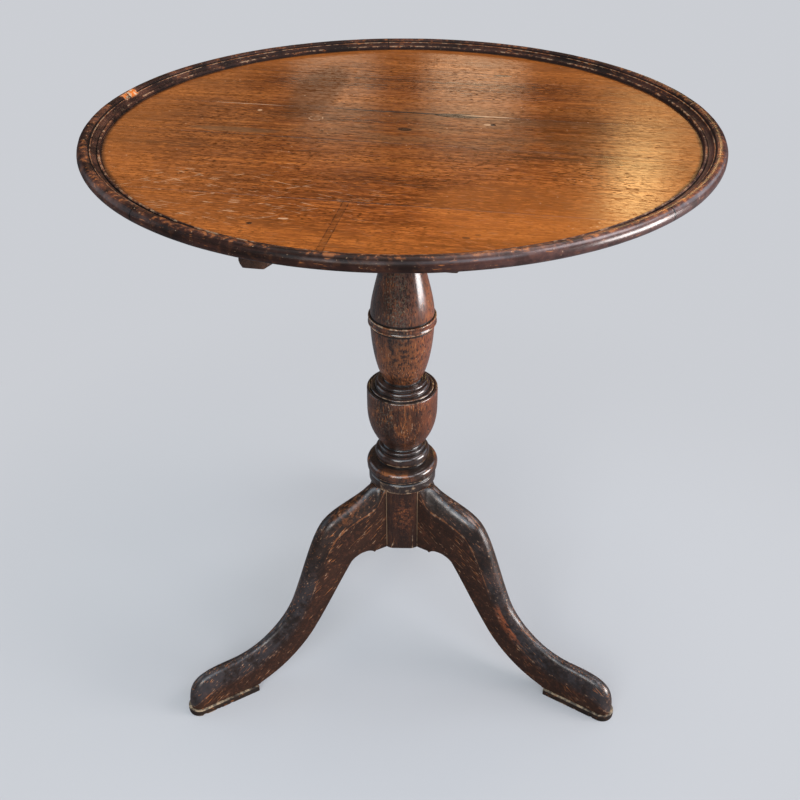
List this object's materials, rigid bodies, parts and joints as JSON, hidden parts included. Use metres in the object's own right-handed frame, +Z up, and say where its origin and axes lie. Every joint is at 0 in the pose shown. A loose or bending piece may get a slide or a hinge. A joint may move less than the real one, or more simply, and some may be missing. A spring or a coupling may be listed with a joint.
{
  "type": "tilt-top wine table",
  "caption": "Round dished tilt-top side table in oak: boards with a moulded rim tip about a block on a turned baluster column with a tripod of cabriole legs.",
  "frame": {"origin": "on the floor, on the axis of the column", "axes": "+Z up along the column, -Y towards the front of the picture, the grain of the top is turned 9 degrees clockwise from +X"},
  "size_m": [0.6196, 0.6196, 0.707],
  "materials": {
    "board_oak": "waxed, worn, warm orange-brown",
    "rim_oak": "dark polished, rubbed through on the edges",
    "dark_oak": "dark polished with dirt in the grooves and worn edges",
    "raw_oak": "unpolished, planed",
    "brass": "cast, aged",
    "iron_fixings": "dull, darkened",
    "wrought_iron": "black, forged"
  },
  "bodies": {
    "base": {"column": "dark_oak", "tenon_wedge": "raw_oak", "block": "raw_oak", "pivot_pin_left": "iron_fixings", "pivot_pin_right": "iron_fixings", "catch_keeper": "brass", "keeper_screw_left": "brass", "keeper_screw_right": "brass", "leg_back": "dark_oak", "leg_front_left": "dark_oak", "leg_front_right": "dark_oak", "sole_back": "dark_oak", "sole_front_left": "dark_oak", "sole_front_right": "dark_oak", "brace_plate": "wrought_iron", "brace_screw_centre": "iron_fixings", "brace_screw_back": "iron_fixings", "brace_screw_front_left": "iron_fixings", "brace_screw_front_right": "iron_fixings"},
    "top": {"top_board_1": "board_oak", "top_board_2": "board_oak", "top_board_3": "board_oak", "top_board_4": "board_oak", "top_board_5": "board_oak", "rim_front": "rim_oak", "rim_right": "rim_oak", "rim_back": "rim_oak", "rim_left": "rim_oak", "bearer_left": "raw_oak", "bearer_right": "raw_oak", "bearer_left_screw_1": "iron_fixings", "bearer_left_screw_2": "iron_fixings", "bearer_left_screw_3": "iron_fixings", "bearer_left_screw_4": "iron_fixings", "bearer_left_screw_5": "iron_fixings", "bearer_right_screw_1": "iron_fixings", "bearer_right_screw_2": "iron_fixings", "bearer_right_screw_3": "iron_fixings", "bearer_right_screw_4": "iron_fixings", "bearer_right_screw_5": "iron_fixings", "catch_case": "brass", "catch_screw_1": "brass", "catch_screw_2": "brass", "catch_screw_3": "brass", "catch_screw_4": "brass"},
    "bolt": {"catch_bolt": "brass", "catch_knob": "brass"}
  },
  "joints": [
    {"name": "top_tilt", "type": "hinge", "parent": "base", "child": "top", "pos_m": [0.00813, 0.05136, 0.6707], "axis": [-0.9877, 0.1564, 0], "range_deg": [0, 90]},
    {"name": "catch_bolt_slide", "type": "slide", "parent": "top", "child": "bolt", "axis": [0.1564, 0.9877, 0], "range_m": [0, 0.01]}
  ]
}
